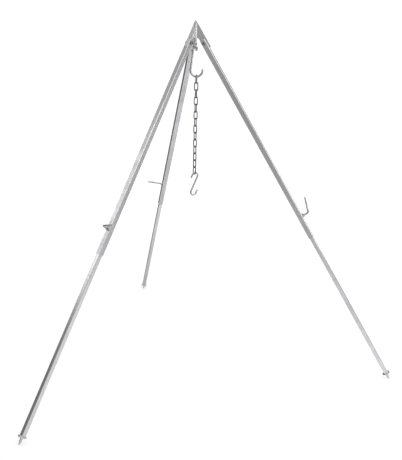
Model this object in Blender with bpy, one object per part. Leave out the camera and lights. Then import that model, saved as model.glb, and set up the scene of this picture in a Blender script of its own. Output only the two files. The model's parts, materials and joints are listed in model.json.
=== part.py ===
"""Campfire tripod: three telescoping legs hinged on a finned head that carries a hook, a chain and an S-hook.

Metres, +Z up. The origin lies on the ground, at the centre of the box around the tripod's footprint.
"""

from math import acos, asin, atan, cos, radians, sin, sqrt, tau

import bmesh
import bpy
from mathutils import Matrix, Vector

# Fits
GAP = 0.0003  # between pieces that touch
RUNNING_GAP = 0.0005  # between pieces that slide or turn in each other

# Legs
LEG_AZIMUTHS = tuple(radians(a) for a in (90, 210, 330))
LEG_LEAN = radians(31.8)  # from the vertical
LEG_LENGTH = 1.920  # pivot to spike tip
PIVOT_RADIUS = 0.043  # tripod axis to pivot
UPPER_SIDE = 0.025
UPPER_WALL = 0.002
UPPER_ABOVE_PIVOT = 0.020
UPPER_BELOW_PIVOT = 1.069
UPPER_END_ROUNDING = 0.008
LOWER_WALL = 0.0015
LOWER_OVERLAP = 0.220  # length of the lower tube that is inside the upper one
TUBE_CORNER = 0.0025

# Feet
FOOT_PLATE_RADIUS = 0.019
FOOT_PLATE_THICKNESS = 0.004
SPIKE_RADIUS = 0.006
SPIKE_LENGTH = 0.032
SPIKE_POINT = 0.012  # length of its tapered end
SPIKE_TIP_RADIUS = 0.0025

# Clamp screws
CLAMP_BELOW_PIVOT = 0.950
CLAMP_TURNS = tuple(radians(a) for a in (90, 83, 0))  # handle, from up the leg
CLAMP_RADIUS = 0.005
CLAMP_REACH = 0.036  # tube face to the middle of the handle's root
CLAMP_BEND_RADIUS = 0.012
CLAMP_BEND = radians(74)
CLAMP_HANDLE = 0.084
CLAMP_NUT_FLATS = 0.017
CLAMP_NUT_THICKNESS = 0.009

# Head, with heights measured from the pivots
POST_RADIUS = 0.007
POST_FOOT = -0.001
WING_THICKNESS = 0.005
WING_PROUD = 0.007  # beyond the outer face of the tube
WING_INSIDE = 0.009  # from the leg's centre line to the inner edge, inside the tube
WING_BELOW_PIVOT = 0.029  # down the leg to the end that stops the tube's slot
WING_FOOT = 0.022  # lower edge beside the post
WING_TOP = 0.0865
INNER_SLOT_BELOW_PIVOT = 0.034
CAP_RADIUS = 0.010
CAP_HEIGHT = 0.0172
CAP_TIP_RADIUS = 0.001
EYE_RADIUS = 0.009  # of the ring's centre line
EYE_WIRE_RADIUS = 0.003

# Pivot bolts
BOLT_RADIUS = 0.004
BOLT_FLATS = 0.013
BOLT_HEAD = 0.0055
BOLT_NUT = 0.0065
BOLT_BEYOND_NUT = 0.002
WASHER_RADIUS = 0.0085
WASHER_THICKNESS = 0.0015
SPACER_RADIUS = 0.0068

# Hook under the head
HOOK_AZIMUTH = radians(330)  # from its shank side to its point side
HOOK_WIRE_RADIUS = 0.0048
HOOK_BOWL_RADIUS = 0.029
HOOK_DROP = 0.1300  # eye to the bottom of the bowl
HOOK_ASIDE = 0.008  # eye to the middle of the bowl, towards its point
HOOK_POINT = 0.007  # straight end above the bowl
HOOK_LOOP_RADIUS = 0.0086

# Chain
LINKS = 14
LINK_WIRE_RADIUS = 0.00275
LINK_INSIDE = 0.011  # between its two sides
LINK_PITCH = 0.0339
LINK_TWIST = radians(-2.5)  # from each link to the next, beside the quarter turn

# S-hook
S_WIRE_RADIUS = 0.0042
S_BEND_RADIUS = 0.015
S_BETWEEN_BENDS = 0.084
S_LEG = 0.020
S_TILT = radians(5)  # of the line between its bends
S_TURN = radians(75)  # of its plane from the last link's

# Facets
ROUND_SIDES = 24
BAR_SIDES = 16
WIRE_SIDES = 10
LINK_SIDES = 8
CORNER_STEPS = 2
ARC_STEP = radians(15)
LINK_ARC_STEP = radians(22.5)
SHARP_ANGLE = radians(40)

# Worked out from the sizes above
UPPER_BORE = UPPER_SIDE - 2 * UPPER_WALL
LOWER_SIDE = UPPER_BORE - 2 * RUNNING_GAP
WING_OUTSIDE = UPPER_SIDE / 2 + WING_PROUD
SLOT_WIDTH = WING_THICKNESS + 2 * RUNNING_GAP
BOLT_HOLE_RADIUS = BOLT_RADIUS + GAP
CLAMP_HOLE_RADIUS = CLAMP_RADIUS + GAP
WASHER_FACE = UPPER_SIDE / 2 + GAP
HEAD_FACE = WASHER_FACE + WASHER_THICKNESS + GAP
FOOT_TOP = LEG_LENGTH - SPIKE_LENGTH - GAP - FOOT_PLATE_THICKNESS
EYE_CENTRE = POST_FOOT - GAP - EYE_WIRE_RADIUS - EYE_RADIUS
LINK_HALF_WIDTH = LINK_INSIDE / 2 + LINK_WIRE_RADIUS
LINK_CROWNS = LINK_PITCH + 2 * LINK_WIRE_RADIUS + GAP  # between its two crowns' centre lines

# Colours
GALVANISED = (0.60, 0.62, 0.63)
ZINC_PLATED = (0.52, 0.53, 0.54)


# Outlines: lists of (x, y) that run anticlockwise


def round_outline(radius, sides=ROUND_SIDES):
    """A regular polygon, which stands for a circle."""
    return [(radius * cos(tau * i / sides), radius * sin(tau * i / sides)) for i in range(sides)]


def hex_outline(flats):
    """A hexagon with as many points as a circle, so that the two bridge evenly."""
    points = []
    for i in range(ROUND_SIDES):
        angle = tau * i / ROUND_SIDES
        from_flat = (angle + tau / 12) % (tau / 6) - tau / 12
        reach = flats / 2 / cos(from_flat)
        points.append((reach * cos(angle), reach * sin(angle)))
    return points


def square_outline(side, corner):
    """A square with rounded corners."""
    inset = side / 2 - corner
    points = []
    for quarter in range(4):
        middle = Vector((inset, inset)) @ Matrix.Rotation(-quarter * tau / 4, 2)
        for step in range(CORNER_STEPS + 1):
            angle = tau / 4 * (quarter + step / CORNER_STEPS)
            points.append((middle.x + corner * cos(angle), middle.y + corner * sin(angle)))
    return points


def arc(centre, radius, start, end, step=ARC_STEP):
    """Points along a circular arc, both ends included."""
    steps = max(2, round(abs(end - start) / step))
    angles = (start + (end - start) * i / steps for i in range(steps + 1))
    return [Vector(centre) + radius * Vector((cos(a), sin(a))) for a in angles]


# Solids


def loft(name, loops, closed=False):
    """A solid skinned over loops of points, with flat ends, or going round from the last loop to the first."""
    model = bmesh.new()
    rings = [[model.verts.new(p) for p in loop] for loop in loops]
    pairs = list(zip(rings, rings[1:]))
    if closed:
        pairs.append((rings[-1], rings[0]))
    else:
        model.faces.new(rings[0])
        model.faces.new(rings[-1])
    for one, other in pairs:
        for i in range(len(one)):
            model.faces.new((one[i - 1], one[i], other[i], other[i - 1]))
    bmesh.ops.recalc_face_normals(model, faces=model.faces)
    mesh = bpy.data.meshes.new(name)
    model.to_mesh(mesh)
    model.free()
    return mesh


def at_height(outline, height):
    return [(x, y, height) for x, y in outline]


def bar(name, outline, low, high):
    """A solid prism along Z."""
    return loft(name, [at_height(outline, low), at_height(outline, high)])


def collar(name, outer, inner, low, high):
    """A hollow prism along Z, open at both ends."""
    loops = [at_height(outer, low), at_height(outer, high), at_height(inner, high), at_height(inner, low)]
    return loft(name, loops, closed=True)


def turned(name, profile, sides=ROUND_SIDES):
    """A solid turned about Z from (radius, height) points."""
    return loft(name, [at_height(round_outline(radius, sides), height) for radius, height in profile])


def plate(name, outline, thickness):
    """A flat plate with its outline in the XZ plane, centred on that plane."""
    return loft(name, [[(x, y, z) for x, z in outline] for y in (-thickness / 2, thickness / 2)])


def bent_wire(name, path, radius, sides=WIRE_SIDES, closed=False):
    """A round wire bent along a path in the XZ plane."""
    points = [p for i, p in enumerate(path) if i == 0 or (p - path[i - 1]).length > GAP]
    if closed and (points[0] - points[-1]).length < GAP:
        points.pop()
    loops = []
    for i, point in enumerate(points):
        before = points[i - 1] if closed or i > 0 else None
        after = points[(i + 1) % len(points)] if closed or i < len(points) - 1 else None
        ways = [(b - a).normalized() for a, b in ((before, point), (point, after)) if a and b]
        along = sum(ways, Vector((0, 0))).normalized()
        across = Vector((-along.y, along.x))
        loop = []
        for x, y in round_outline(radius, sides):
            place = point + x * across
            loop.append((place.x, y, place.y))
        loops.append(loop)
    return loft(name, loops, closed)


def turned_onto(mesh, axis):
    """Lay a mesh made along Z along X or Y instead."""
    about = {"X": "Y", "Y": "X"}[axis]
    angle = {"X": tau / 4, "Y": -tau / 4}[axis]
    mesh.transform(Matrix.Rotation(angle, 4, about))
    return mesh


def combined(mesh, others, operation="DIFFERENCE"):
    """Cut other solids from a mesh, or join them to it, and return the finished mesh."""
    piece = bpy.data.objects.new(mesh.name, mesh)
    bpy.context.scene.collection.objects.link(piece)
    tools = []
    for other in others:
        tool = bpy.data.objects.new(other.name, other)
        tool.hide_render = True
        tool.display_type = "WIRE"
        bpy.context.scene.collection.objects.link(tool)
        tools.append(tool)
        modifier = piece.modifiers.new(other.name, "BOOLEAN")
        modifier.operation = operation
        modifier.solver = "EXACT"
        modifier.object = tool
    bpy.context.view_layer.update()
    result = piece.evaluated_get(bpy.context.evaluated_depsgraph_get())
    finished = bpy.data.meshes.new_from_object(result)
    finished.name = mesh.name
    for leftover in (piece, *tools):
        bpy.data.objects.remove(leftover)
    return finished


# Objects


def steel(name, colour, roughness):
    material = bpy.data.materials.new(name)
    material.use_nodes = True
    shader = material.node_tree.nodes["Principled BSDF"]
    shader.inputs["Base Color"].default_value = (*colour, 1)
    shader.inputs["Metallic"].default_value = 1
    shader.inputs["Roughness"].default_value = roughness
    return material


def place(name, mesh, parent, location=(0, 0, 0), rotation=(0, 0, 0), colour=GALVANISED, roughness=0.35):
    """Add one named piece, on its parent's frame, in a steel of its own."""
    piece = bpy.data.objects.new(name, mesh.copy())
    piece.data.name = name
    piece.data.shade_smooth()
    piece.data.set_sharp_from_angle(angle=SHARP_ANGLE)
    piece.data.materials.clear()
    piece.data.materials.append(steel(name, colour, roughness))
    piece.parent = parent
    piece.location = location
    piece.rotation_euler = rotation
    bpy.context.scene.collection.objects.link(piece)
    return piece


def frame(name, parent, location=(0, 0, 0), rotation=(0, 0, 0)):
    """Add an empty that carries other pieces."""
    empty = bpy.data.objects.new(name, None)
    empty.parent = parent
    empty.location = location
    empty.rotation_euler = rotation
    bpy.context.scene.collection.objects.link(empty)
    return empty


# Head


def beside_leg(outward, up):
    """The (radius, height) of a point given in the leg's own plane, from its pivot."""
    radius = PIVOT_RADIUS + outward * cos(LEG_LEAN) - up * sin(LEG_LEAN)
    return radius, outward * sin(LEG_LEAN) + up * cos(LEG_LEAN)


def up_leg_to(height, outward):
    """How far up the leg a line beside it reaches this height."""
    return (height - outward * sin(LEG_LEAN)) / cos(LEG_LEAN)


def wing_mesh():
    """A fin between the post and a leg, ending in a step that stops the leg's slot."""
    inner = -UPPER_SIDE / 2
    shoulder = UPPER_ABOVE_PIVOT + RUNNING_GAP
    outline = [
        (POST_RADIUS + GAP, WING_FOOT),
        beside_leg(inner, up_leg_to(WING_FOOT, inner)),
        beside_leg(inner, shoulder),
        beside_leg(-WING_INSIDE, shoulder),
        beside_leg(-WING_INSIDE, -WING_BELOW_PIVOT),
        beside_leg(WING_OUTSIDE, -WING_BELOW_PIVOT),
        beside_leg(WING_OUTSIDE, up_leg_to(WING_TOP, WING_OUTSIDE)),
        (POST_RADIUS + GAP, WING_TOP),
    ]
    hole = bar("wing_hole", round_outline(BOLT_HOLE_RADIUS), -WING_THICKNESS, WING_THICKNESS)
    turned_onto(hole, "Y").transform(Matrix.Translation((PIVOT_RADIUS, 0, 0)))
    return combined(plate("wing", outline, WING_THICKNESS), [hole])


def build_post(root):
    post = turned("post", [(POST_RADIUS, POST_FOOT), (POST_RADIUS, WING_TOP)])
    place("head_post", post, root)
    cap_foot = WING_TOP + GAP
    cap = turned("cap", [(CAP_RADIUS, cap_foot), (CAP_TIP_RADIUS, cap_foot + CAP_HEIGHT)])
    place("head_cap", cap, root, roughness=0.3)
    ring = bent_wire("eye", arc((0, 0), EYE_RADIUS, 0, tau), EYE_WIRE_RADIUS, closed=True)
    place("hanging_eye", ring, root, (0, 0, EYE_CENTRE), (0, 0, HOOK_AZIMUTH + tau / 4))


def bolt_mesh():
    """A hexagon bolt along Y, with its head outside the leg's +Y wall."""
    end = HEAD_FACE + BOLT_NUT + BOLT_BEYOND_NUT
    head = bar("bolt", hex_outline(BOLT_FLATS), HEAD_FACE, HEAD_FACE + BOLT_HEAD)
    shank = bar("shank", round_outline(BOLT_RADIUS), -end, HEAD_FACE + BOLT_HEAD / 2)
    return turned_onto(combined(head, [shank], "UNION"), "Y")


def side_collar(name, outer, face, thickness):
    """A washer, nut or spacer on the bolt, from a face at this distance along Y."""
    hole = round_outline(BOLT_HOLE_RADIUS)
    return turned_onto(collar(name, outer, hole, face, face + thickness), "Y")


def build_pivots(root, wing):
    """Each leg's fin, and the bolt, nut, washers and spacers of its pivot."""
    bolt = bolt_mesh()
    nut = side_collar("nut", hex_outline(BOLT_FLATS), -HEAD_FACE - BOLT_NUT, BOLT_NUT)
    washer_outline = round_outline(WASHER_RADIUS)
    washer = side_collar("washer", washer_outline, WASHER_FACE, WASHER_THICKNESS)
    spacer_face = WING_THICKNESS / 2 + GAP
    spacer_length = UPPER_BORE / 2 - GAP - spacer_face
    spacer = side_collar("spacer", round_outline(SPACER_RADIUS), spacer_face, spacer_length)
    for number, azimuth in enumerate(LEG_AZIMUTHS, 1):
        fin = place(f"head_wing_{number}", wing, root, rotation=(0, 0, azimuth))
        pivot = frame(f"pivot_{number}", fin, (PIVOT_RADIUS, 0, 0))
        place(f"pivot_bolt_{number}", bolt, pivot, colour=ZINC_PLATED)
        place(f"pivot_nut_{number}", nut, pivot, colour=ZINC_PLATED)
        for side, turn in (("left", 0), ("right", tau / 2)):
            place(f"pivot_washer_{number}_{side}", washer, pivot, (0, 0, 0), (0, 0, turn), ZINC_PLATED)
            place(f"pivot_spacer_{number}_{side}", spacer, pivot, (0, 0, 0), (0, 0, turn), ZINC_PLATED)


# Legs, each in a frame at its pivot with Z up the leg and X outward


def end_rounding(side):
    """A cutter that rounds the tube's top end, on the outer side (1) or the inner side (-1)."""
    radius = UPPER_END_ROUNDING
    beyond = 2 * UPPER_WALL
    centre = (side * (UPPER_SIDE / 2 - radius), UPPER_ABOVE_PIVOT - radius)
    curve = arc(centre, radius, tau / 4 * (1 - side), tau / 4)
    outer, top = side * (UPPER_SIDE / 2 + beyond), UPPER_ABOVE_PIVOT + beyond
    outline = [tuple(p) for p in curve] + [(centre[0], top), (outer, top), (outer, centre[1])]
    return plate(f"rounding_{side}", outline, 2 * UPPER_SIDE)


def slot(name, side, depth):
    """A cutter for the slot that the fin passes through, in the outer wall (1) or the inner one (-1)."""
    low, high = -depth, UPPER_ABOVE_PIVOT + UPPER_WALL
    near, far = sorted((0, side * UPPER_SIDE))
    outline = [(near, low), (far, low), (far, high), (near, high)]
    return plate(name, outline, SLOT_WIDTH)


def upper_tube_mesh():
    outer = square_outline(UPPER_SIDE, TUBE_CORNER)
    inner = square_outline(UPPER_BORE, TUBE_CORNER - UPPER_WALL)
    tube = collar("upper_tube", outer, inner, -UPPER_BELOW_PIVOT, UPPER_ABOVE_PIVOT)
    pivot_hole = bar("pivot_hole", round_outline(BOLT_HOLE_RADIUS), -UPPER_SIDE, UPPER_SIDE)
    clamp_hole = bar("clamp_hole", round_outline(CLAMP_HOLE_RADIUS), 0, UPPER_SIDE)
    turned_onto(clamp_hole, "X").transform(Matrix.Translation((0, 0, -CLAMP_BELOW_PIVOT)))
    cutters = [
        slot("outer_slot", 1, WING_BELOW_PIVOT + GAP),
        slot("inner_slot", -1, INNER_SLOT_BELOW_PIVOT),
        end_rounding(1),
        end_rounding(-1),
        turned_onto(pivot_hole, "Y"),
        clamp_hole,
    ]
    return combined(tube, cutters)


def lower_tube_mesh():
    top = LOWER_OVERLAP - UPPER_BELOW_PIVOT
    outer = square_outline(LOWER_SIDE, TUBE_CORNER)
    inner = square_outline(LOWER_SIDE - 2 * LOWER_WALL, TUBE_CORNER - LOWER_WALL)
    return collar("lower_tube", outer, inner, GAP - FOOT_TOP, top)


def clamp_screw_mesh():
    """An L-shaped screw along X from the tube's face, with its handle towards +Z."""
    tip = LOWER_SIDE / 2 + GAP - UPPER_SIDE / 2
    bend_start = CLAMP_REACH - CLAMP_BEND_RADIUS
    bend = arc((bend_start, CLAMP_BEND_RADIUS), CLAMP_BEND_RADIUS, -tau / 4, CLAMP_BEND - tau / 4)
    way = Vector((cos(CLAMP_BEND), sin(CLAMP_BEND)))
    path = [Vector((tip, 0)), *bend, bend[-1] + way * (CLAMP_HANDLE - CLAMP_BEND_RADIUS)]
    return bent_wire("clamp_screw", path, CLAMP_RADIUS, BAR_SIDES)


def foot_meshes():
    """The foot plate and the spike under it, both along the leg."""
    plate_foot = -FOOT_TOP - FOOT_PLATE_THICKNESS
    foot = turned("foot", [(FOOT_PLATE_RADIUS, -FOOT_TOP), (FOOT_PLATE_RADIUS, plate_foot)])
    taper = SPIKE_POINT - LEG_LENGTH
    profile = [(SPIKE_RADIUS, plate_foot - GAP), (SPIKE_RADIUS, taper), (SPIKE_TIP_RADIUS, -LEG_LENGTH)]
    return foot, turned("spike", profile)


def build_legs(root):
    upper, lower, screw = upper_tube_mesh(), lower_tube_mesh(), clamp_screw_mesh()
    foot, spike = foot_meshes()
    nut_face = UPPER_SIDE / 2 + GAP
    hole = round_outline(CLAMP_HOLE_RADIUS)
    nut = collar("clamp_nut", hex_outline(CLAMP_NUT_FLATS), hole, nut_face, nut_face + CLAMP_NUT_THICKNESS)
    turned_onto(nut, "X")
    for number, azimuth in enumerate(LEG_AZIMUTHS, 1):
        hinge = (PIVOT_RADIUS * cos(azimuth), PIVOT_RADIUS * sin(azimuth), 0)
        leg = frame(f"leg_{number}", root, hinge, (0, -LEG_LEAN, azimuth))
        place(f"upper_tube_{number}", upper, leg)
        place(f"lower_tube_{number}", lower, leg, roughness=0.3)
        place(f"foot_plate_{number}", foot, leg)
        place(f"foot_spike_{number}", spike, leg)
        place(f"clamp_nut_{number}", nut, leg, (0, 0, -CLAMP_BELOW_PIVOT), colour=ZINC_PLATED)
        face = (UPPER_SIDE / 2, 0, -CLAMP_BELOW_PIVOT)
        turn = (-CLAMP_TURNS[number - 1], 0, 0)
        place(f"clamp_screw_{number}", screw, leg, face, turn, ZINC_PLATED)


# Hook, chain and S-hook, each in a frame on the wire that it hangs from


def hook_mesh():
    """A J-hook with a rolled eye, which hangs from the wire at its origin."""
    loop_centre = Vector((0, EYE_WIRE_RADIUS + HOOK_WIRE_RADIUS + GAP - HOOK_LOOP_RADIUS))
    bowl_centre = Vector((HOOK_ASIDE, HOOK_BOWL_RADIUS - HOOK_DROP))
    rise = loop_centre - bowl_centre
    slant = asin((HOOK_BOWL_RADIUS - HOOK_LOOP_RADIUS) / rise.length) - atan(HOOK_ASIDE / rise.y)
    half_turn = tau / 2
    opening = acos(1 - (2 * HOOK_WIRE_RADIUS + GAP) / HOOK_LOOP_RADIUS)
    path = [
        bowl_centre + Vector((HOOK_BOWL_RADIUS, HOOK_POINT)),
        *arc(bowl_centre, HOOK_BOWL_RADIUS, 0, -half_turn - slant),
        *arc(loop_centre, HOOK_LOOP_RADIUS, half_turn - slant, opening - half_turn - slant),
    ]
    return bent_wire("hook", path, HOOK_WIRE_RADIUS)


def link_mesh(hung_on):
    """An oval link that hangs from a wire of this radius at its origin."""
    top = hung_on + GAP + LINK_WIRE_RADIUS
    middle = LINK_HALF_WIDTH
    upper, lower = (0, top - middle), (0, top - LINK_CROWNS + middle)
    half_turn = tau / 2
    path = [
        *arc(upper, middle, 0, half_turn, LINK_ARC_STEP),
        *arc(lower, middle, half_turn, tau, LINK_ARC_STEP),
    ]
    return bent_wire("link", path, LINK_WIRE_RADIUS, LINK_SIDES, closed=True)


def s_hook_mesh():
    """Two opposite bends joined by a slanting shank, which hangs from the wire at its origin."""
    hang = S_BEND_RADIUS - S_WIRE_RADIUS - LINK_WIRE_RADIUS - RUNNING_GAP
    aside = S_BETWEEN_BENDS / 2 * sin(S_TILT)  # keeps the hook's weight under the wire
    top = Vector((aside, -sqrt(hang**2 - aside**2)))
    bottom = top - S_BETWEEN_BENDS * Vector((sin(S_TILT), cos(S_TILT)))
    slant = S_TILT + asin(2 * S_BEND_RADIUS / S_BETWEEN_BENDS)
    down = Vector((-sin(slant), -cos(slant)))
    half_turn = tau / 2
    upper_bend = arc(top, S_BEND_RADIUS, half_turn - slant, -slant)
    lower_bend = arc(bottom, S_BEND_RADIUS, half_turn - slant, tau - slant)
    path = [
        upper_bend[0] + S_LEG * down,
        *upper_bend,
        *lower_bend,
        lower_bend[-1] - S_LEG * down,
    ]
    return bent_wire("s_hook", path, S_WIRE_RADIUS)


def build_hanging_parts(root):
    """Hang each piece on the one before: the hook, the links in turn, and the S-hook."""
    eye_wire = (0, 0, EYE_CENTRE - EYE_RADIUS)
    above = place("hook", hook_mesh(), root, eye_wire, (0, 0, HOOK_AZIMUTH), ZINC_PLATED)
    hanging = (HOOK_ASIDE, 0, -HOOK_DROP)
    hung_on = HOOK_WIRE_RADIUS
    quarter_turn = tau / 4
    for number in range(1, LINKS + 1):
        turn = LINK_TWIST + (quarter_turn if number % 2 else -quarter_turn)
        name = f"chain_link_{number:02d}"
        above = place(name, link_mesh(hung_on), above, hanging, (0, 0, turn), ZINC_PLATED)
        hanging = (0, 0, hung_on + GAP + LINK_WIRE_RADIUS - LINK_CROWNS)
        hung_on = LINK_WIRE_RADIUS
    place("s_hook", s_hook_mesh(), above, hanging, (0, 0, S_TURN), ZINC_PLATED)


def stand_on_origin(root):
    """Centre the tripod's box on the origin, with its lowest point on the ground."""
    bpy.context.view_layer.update()
    pieces = [item for item in bpy.context.scene.objects if item.type == "MESH"]
    corners = [piece.matrix_world @ vertex.co for piece in pieces for vertex in piece.data.vertices]
    low, high = (Vector(map(edge, zip(*corners))) for edge in (min, max))
    middle = (low + high) / 2
    root.location = (-middle.x, -middle.y, -low.z)
    bpy.context.view_layer.update()


def main():
    for item in list(bpy.data.objects):
        bpy.data.objects.remove(item)
    root = frame("tripod", None)
    build_post(root)
    build_pivots(root, wing_mesh())
    build_legs(root)
    build_hanging_parts(root)
    stand_on_origin(root)


main()
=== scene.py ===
"""The looks of a campfire tripod: galvanised tube, welded fins, and plated bolts, hook, chain and S-hook.

Every size is in metres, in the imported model's own frame, and repeats the part's own sizes.
"""

import json
from math import acos, asin, atan, cos, exp, radians, sin, sqrt, tau

import bmesh
import bpy
from mathutils import Euler, Matrix, Vector


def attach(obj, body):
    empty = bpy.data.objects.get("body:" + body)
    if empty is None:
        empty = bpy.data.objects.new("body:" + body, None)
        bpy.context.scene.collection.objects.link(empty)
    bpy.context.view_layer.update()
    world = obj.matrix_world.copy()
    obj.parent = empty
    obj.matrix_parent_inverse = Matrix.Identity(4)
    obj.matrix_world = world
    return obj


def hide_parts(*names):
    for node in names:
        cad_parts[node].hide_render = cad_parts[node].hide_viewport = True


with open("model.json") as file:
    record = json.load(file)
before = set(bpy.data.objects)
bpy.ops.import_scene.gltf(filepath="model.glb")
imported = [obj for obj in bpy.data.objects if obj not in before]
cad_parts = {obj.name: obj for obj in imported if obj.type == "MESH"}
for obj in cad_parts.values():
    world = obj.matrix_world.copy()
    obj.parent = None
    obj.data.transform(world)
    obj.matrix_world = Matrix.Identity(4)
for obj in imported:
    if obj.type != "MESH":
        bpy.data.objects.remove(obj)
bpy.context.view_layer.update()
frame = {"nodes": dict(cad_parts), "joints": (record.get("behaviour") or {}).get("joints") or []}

# Legs
LEG_AZIMUTHS = tuple(radians(a) for a in (90, 210, 330))
LEG_LEAN = radians(31.8)
LEG_LENGTH = 1.920
UPPER_SIDE = 0.025
LOWER_SIDE = 0.020
TUBE_CORNER = 0.0025
GAP = 0.0003
RUNNING_GAP = 0.0005

# Feet
FOOT_PLATE_RADIUS = 0.019
FOOT_PLATE_THICKNESS = 0.004
SPIKE_RADIUS = 0.006
SPIKE_LENGTH = 0.032
SPIKE_POINT = 0.012
SPIKE_TIP_RADIUS = 0.0025
FOOT_TOP = LEG_LENGTH - SPIKE_LENGTH - GAP - FOOT_PLATE_THICKNESS

# Clamp screws
CLAMP_BELOW_PIVOT = 0.950
CLAMP_TURNS = tuple(radians(a) for a in (90, 83, 0))
CLAMP_RADIUS = 0.005
CLAMP_REACH = 0.036
CLAMP_BEND_RADIUS = 0.012
CLAMP_BEND = radians(74)
CLAMP_HANDLE = 0.084
CLAMP_NUT_FLATS = 0.017
CLAMP_NUT_THICKNESS = 0.009
CLAMP_THREAD_PITCH = 0.0015

# Head, with heights measured from the pivots
PIVOT_RADIUS = 0.043
POST_RADIUS = 0.007
POST_FOOT = -0.001
WING_THICKNESS = 0.005
WING_FOOT = 0.022
WING_TOP = 0.0865
CAP_RADIUS = 0.010
CAP_HEIGHT = 0.0172
CAP_TIP_RADIUS = 0.001
EYE_RADIUS = 0.009
EYE_WIRE_RADIUS = 0.003
EYE_CENTRE = POST_FOOT - GAP - EYE_WIRE_RADIUS - EYE_RADIUS

# Pivot bolts
BOLT_RADIUS = 0.004
BOLT_FLATS = 0.013
BOLT_HEAD = 0.0055
BOLT_NUT = 0.0065
BOLT_BEYOND_NUT = 0.002
BOLT_THREAD_PITCH = 0.00125
WASHER_RADIUS = 0.0085
WASHER_THICKNESS = 0.0015
WASHER_FACE = UPPER_SIDE / 2 + GAP
HEAD_FACE = WASHER_FACE + WASHER_THICKNESS + GAP

# Hook, chain and S-hook
HOOK_AZIMUTH = radians(330)
HOOK_WIRE_RADIUS = 0.0048
HOOK_BOWL_RADIUS = 0.029
HOOK_DROP = 0.1300
HOOK_ASIDE = 0.008
HOOK_POINT = 0.007
HOOK_LOOP_RADIUS = 0.0086
LINKS = 14
LINK_WIRE_RADIUS = 0.00275
LINK_INSIDE = 0.011
LINK_PITCH = 0.0339
LINK_TWIST = radians(-2.5)
LINK_HALF_WIDTH = LINK_INSIDE / 2 + LINK_WIRE_RADIUS
LINK_CROWNS = LINK_PITCH + 2 * LINK_WIRE_RADIUS + GAP
S_WIRE_RADIUS = 0.0042
S_BEND_RADIUS = 0.015
S_BETWEEN_BENDS = 0.084
S_LEG = 0.020
S_TILT = radians(5)
S_TURN = radians(75)

# Weld beads: the radius of each
WING_BEAD = 0.0019
CAP_BEAD = 0.0012
EYE_BEAD = 0.0014
CLAMP_NUT_BEAD = 0.0013
TUBE_BEAD = 0.0021
SPIKE_BEAD = 0.0016
BESIDE_WING = 0.14  # radians round the post from the fin's face

# Eased and chamfered edges: how wide each is
WING_EDGE = 0.0007
UPPER_TUBE_EDGE = 0.0004
LOWER_TUBE_EDGE = 0.0003
SPACER_EDGE = 0.0003
WASHER_EDGE = 0.0002
POST_EDGE = 0.0008
CAP_EDGE = 0.0006
FOOT_PLATE_EDGE = 0.0008
BOLT_END_EDGE = 0.0006
SCREW_TIP_EDGE = 0.001
NUT_SINK = 0.0004
HEX_FACE_SHARE = 0.955  # of the width across flats, what a chamfer leaves of a nut's face
HEX_CHAMFER_SLOPE = 0.577  # 30 degrees

# Detail
ARC_STEP = radians(6)
BAR_SIDES = 28
LINK_SIDES = 18
ROUND_SIDES = 72
BEAD_SIDES = 12
THREAD_DEPTH = 0.0006
TIP_GIRTH = 0.3  # of a bar's thickness, what is left at its domed tip

HALF_TURN = tau / 2
QUARTER_TURN = tau / 4

# Camera: its place is in leg lengths from the middle of the ground between the feet
CAMERA_PLACE = (-0.4746, -1.4058, 0.7866)
CAMERA_YAW = radians(19.62)
CAMERA_PITCH = 0.271
CAMERA_ROLL = 0.0244
CAMERA_LENS = 44.94

# Studio: the floor and the surround, as the camera sees them and as they light the metal
# A fade is where it starts, where it ends, its value at the start and its value at the end
FLOOR_REACH = 30
FLOOR_BELOW = 0.0005
FLOOR_SEEN = 0.42
FLOOR_GLOW = (1.0, 4.0, 0.64, 0.85)
FLOOR_REFLECTED = 0.95
# Painted shade on the floor as the metal reflects it: darker far off, away from the camera, and a painted
# shadow under the head
PAINTED_SHADE_OUTWARDS = (0.6, 4.5, 1.0, 0.56)
PAINTED_SHADE_BEHIND = (0.0, 1.4, 1.0, 0.42)
PAINTED_SHADOW_UNDER_HEAD = (0.0, 0.5, 0.5, 1.0)
SURROUND_SEEN = 1.05
SURROUND_LIGHT = (-0.25, 1.0, 0.10, 0.85)
BRIGHT_SIDE = (0.25, -0.35, 0.9)  # right, ahead and up

# Soft lights: right of, ahead of and above the tripod's middle, the aim's height above it, size and power
MIDDLE_HEIGHT = 0.9
LIGHTS = {
    "right": (2.5, 1.8, 0.7, 0.3, 2.3, 15),
    "left": (-3.2, 0.3, 1.3, -0.2, 1.9, 12),
    "front": (1.5, -2.6, 2.6, 0.0, 2.4, 16),
    "glint": (1.6, -0.95, 0.5, 0.7, 1.1, 7),
    "top": (0.0, 0.5, 3.4, 0.0, 3.0, 24),
}

# Where the joints are
JOINTS = {joint["name"]: joint for joint in frame["joints"]}
PIVOTS = [Vector(JOINTS[f"leg_{n}_fold"]["pos_m"]) for n in (1, 2, 3)]
AXIS = Vector(JOINTS["hook_swing"]["pos_m"]).to_2d()
HEAD_HOME = Matrix.Translation((AXIS.x, AXIS.y, PIVOTS[0].z))


# Studio


def build_camera():
    """Stand the camera a leg's length and a half in front of the tripod, a little lower than the pivots."""
    yaw, pitch, roll = CAMERA_YAW, CAMERA_PITCH, CAMERA_ROLL
    forward = Vector((sin(yaw) * cos(pitch), cos(yaw) * cos(pitch), -sin(pitch)))
    level = Vector((cos(yaw), -sin(yaw), 0))
    upright = level.cross(forward)
    right = cos(roll) * level + sin(roll) * upright
    up = cos(roll) * upright - sin(roll) * level
    data = bpy.data.cameras.new("camera")
    data.sensor_width = 36
    data.lens = CAMERA_LENS
    camera = bpy.data.objects.new("camera", data)
    bpy.context.scene.collection.objects.link(camera)
    turn = Matrix((right, up, -forward)).transposed().to_4x4()
    place = Vector((AXIS.x, AXIS.y, 0)) + LEG_LENGTH * Vector(CAMERA_PLACE)
    camera.matrix_world = Matrix.Translation(place) @ turn
    bpy.context.scene.camera = camera
    return level, Vector((forward.x, forward.y, 0)).normalized()


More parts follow.
